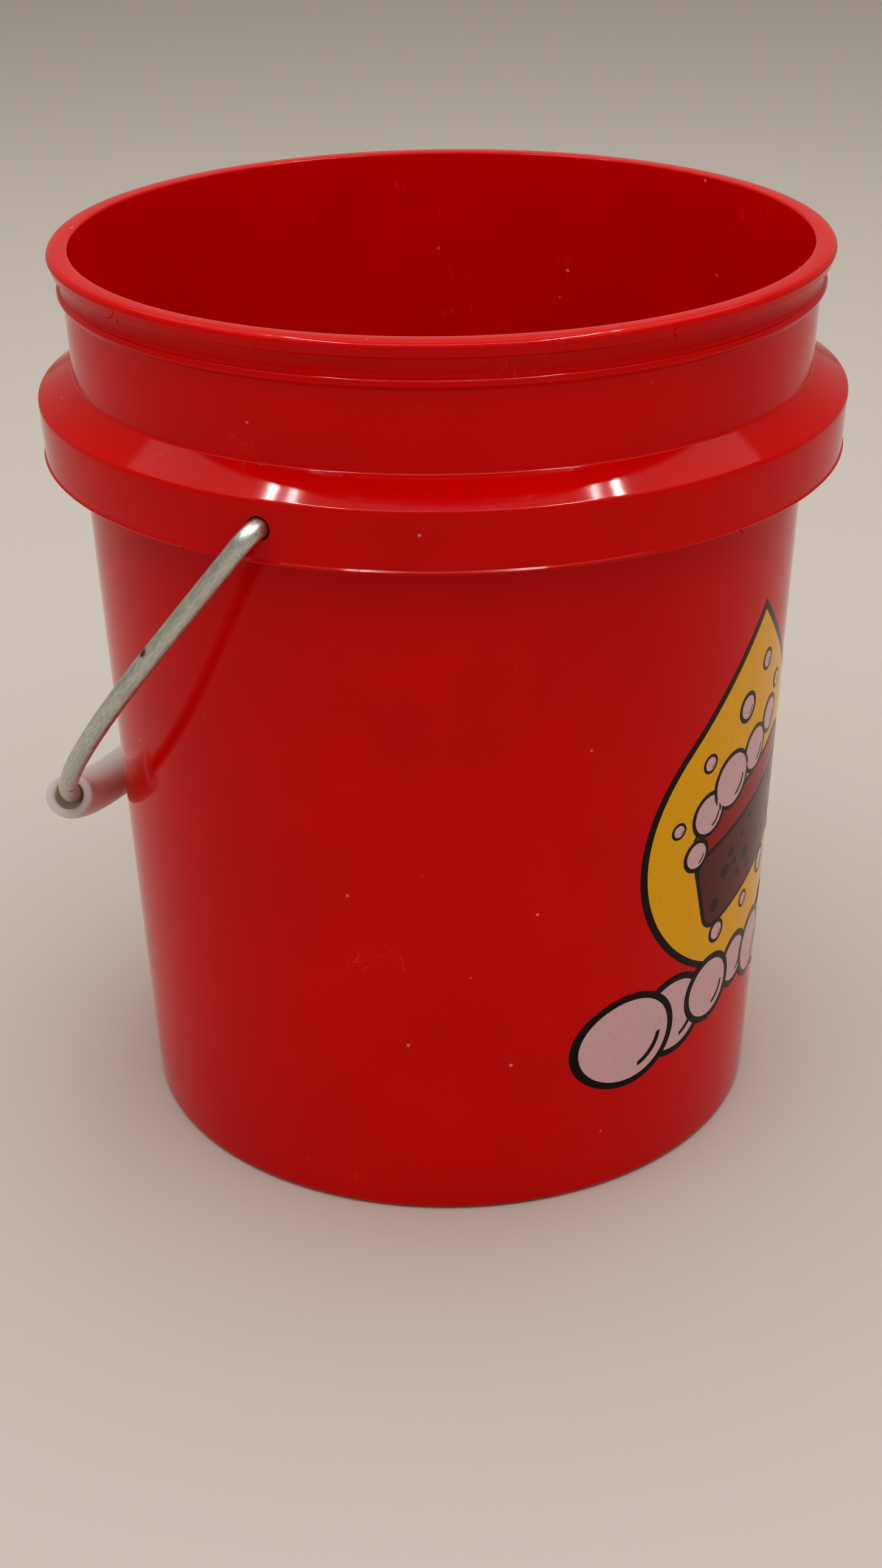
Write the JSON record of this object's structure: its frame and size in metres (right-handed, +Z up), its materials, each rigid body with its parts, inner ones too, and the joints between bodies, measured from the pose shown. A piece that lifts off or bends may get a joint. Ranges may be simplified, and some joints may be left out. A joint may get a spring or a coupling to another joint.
{
  "type": "wash bucket",
  "caption": "Small moulded plastic wash pail with a rolled lip, a hollow collar, a swinging wire bail, a curved tube hand grip and a printed decal.",
  "frame": {"origin": "centre of the foot ring, on the surface that the pail stands on", "axes": "+Z up along the pail's axis; Y along the bail's pivot axis; +X towards the decal, away from the hanging bail"},
  "size_m": [0.1142, 0.1212, 0.1314],
  "materials": {
    "pail_plastic": "injection-moulded polypropylene, glossy with a fine moulded texture",
    "bail_wire": "galvanised drawn steel wire, satin and scuffed",
    "grip_tube": "extruded natural polyethylene tube, milky and translucent",
    "decal_film": "heat-transfer print in yellow, off-white, brown and black"
  },
  "bodies": {
    "pail_body": {"pail": "pail_plastic", "decal": "decal_film"},
    "bail_body": {"bail": "bail_wire"},
    "grip_body": {"grip": "grip_tube"}
  },
  "joints": [
    {"name": "bail_swing", "type": "hinge", "parent": "pail_body", "child": "bail_body", "pos_m": [0, 0, 0.1074], "axis": [0, 1, 0], "range_deg": [0, 282]},
    {"name": "grip_slide", "type": "hinge", "parent": "bail_body", "child": "grip_body", "pos_m": [-0.01498, 0, 0.0889], "axis": [-0.7771, 0, 0.6293], "range_deg": [-45, 45]}
  ]
}
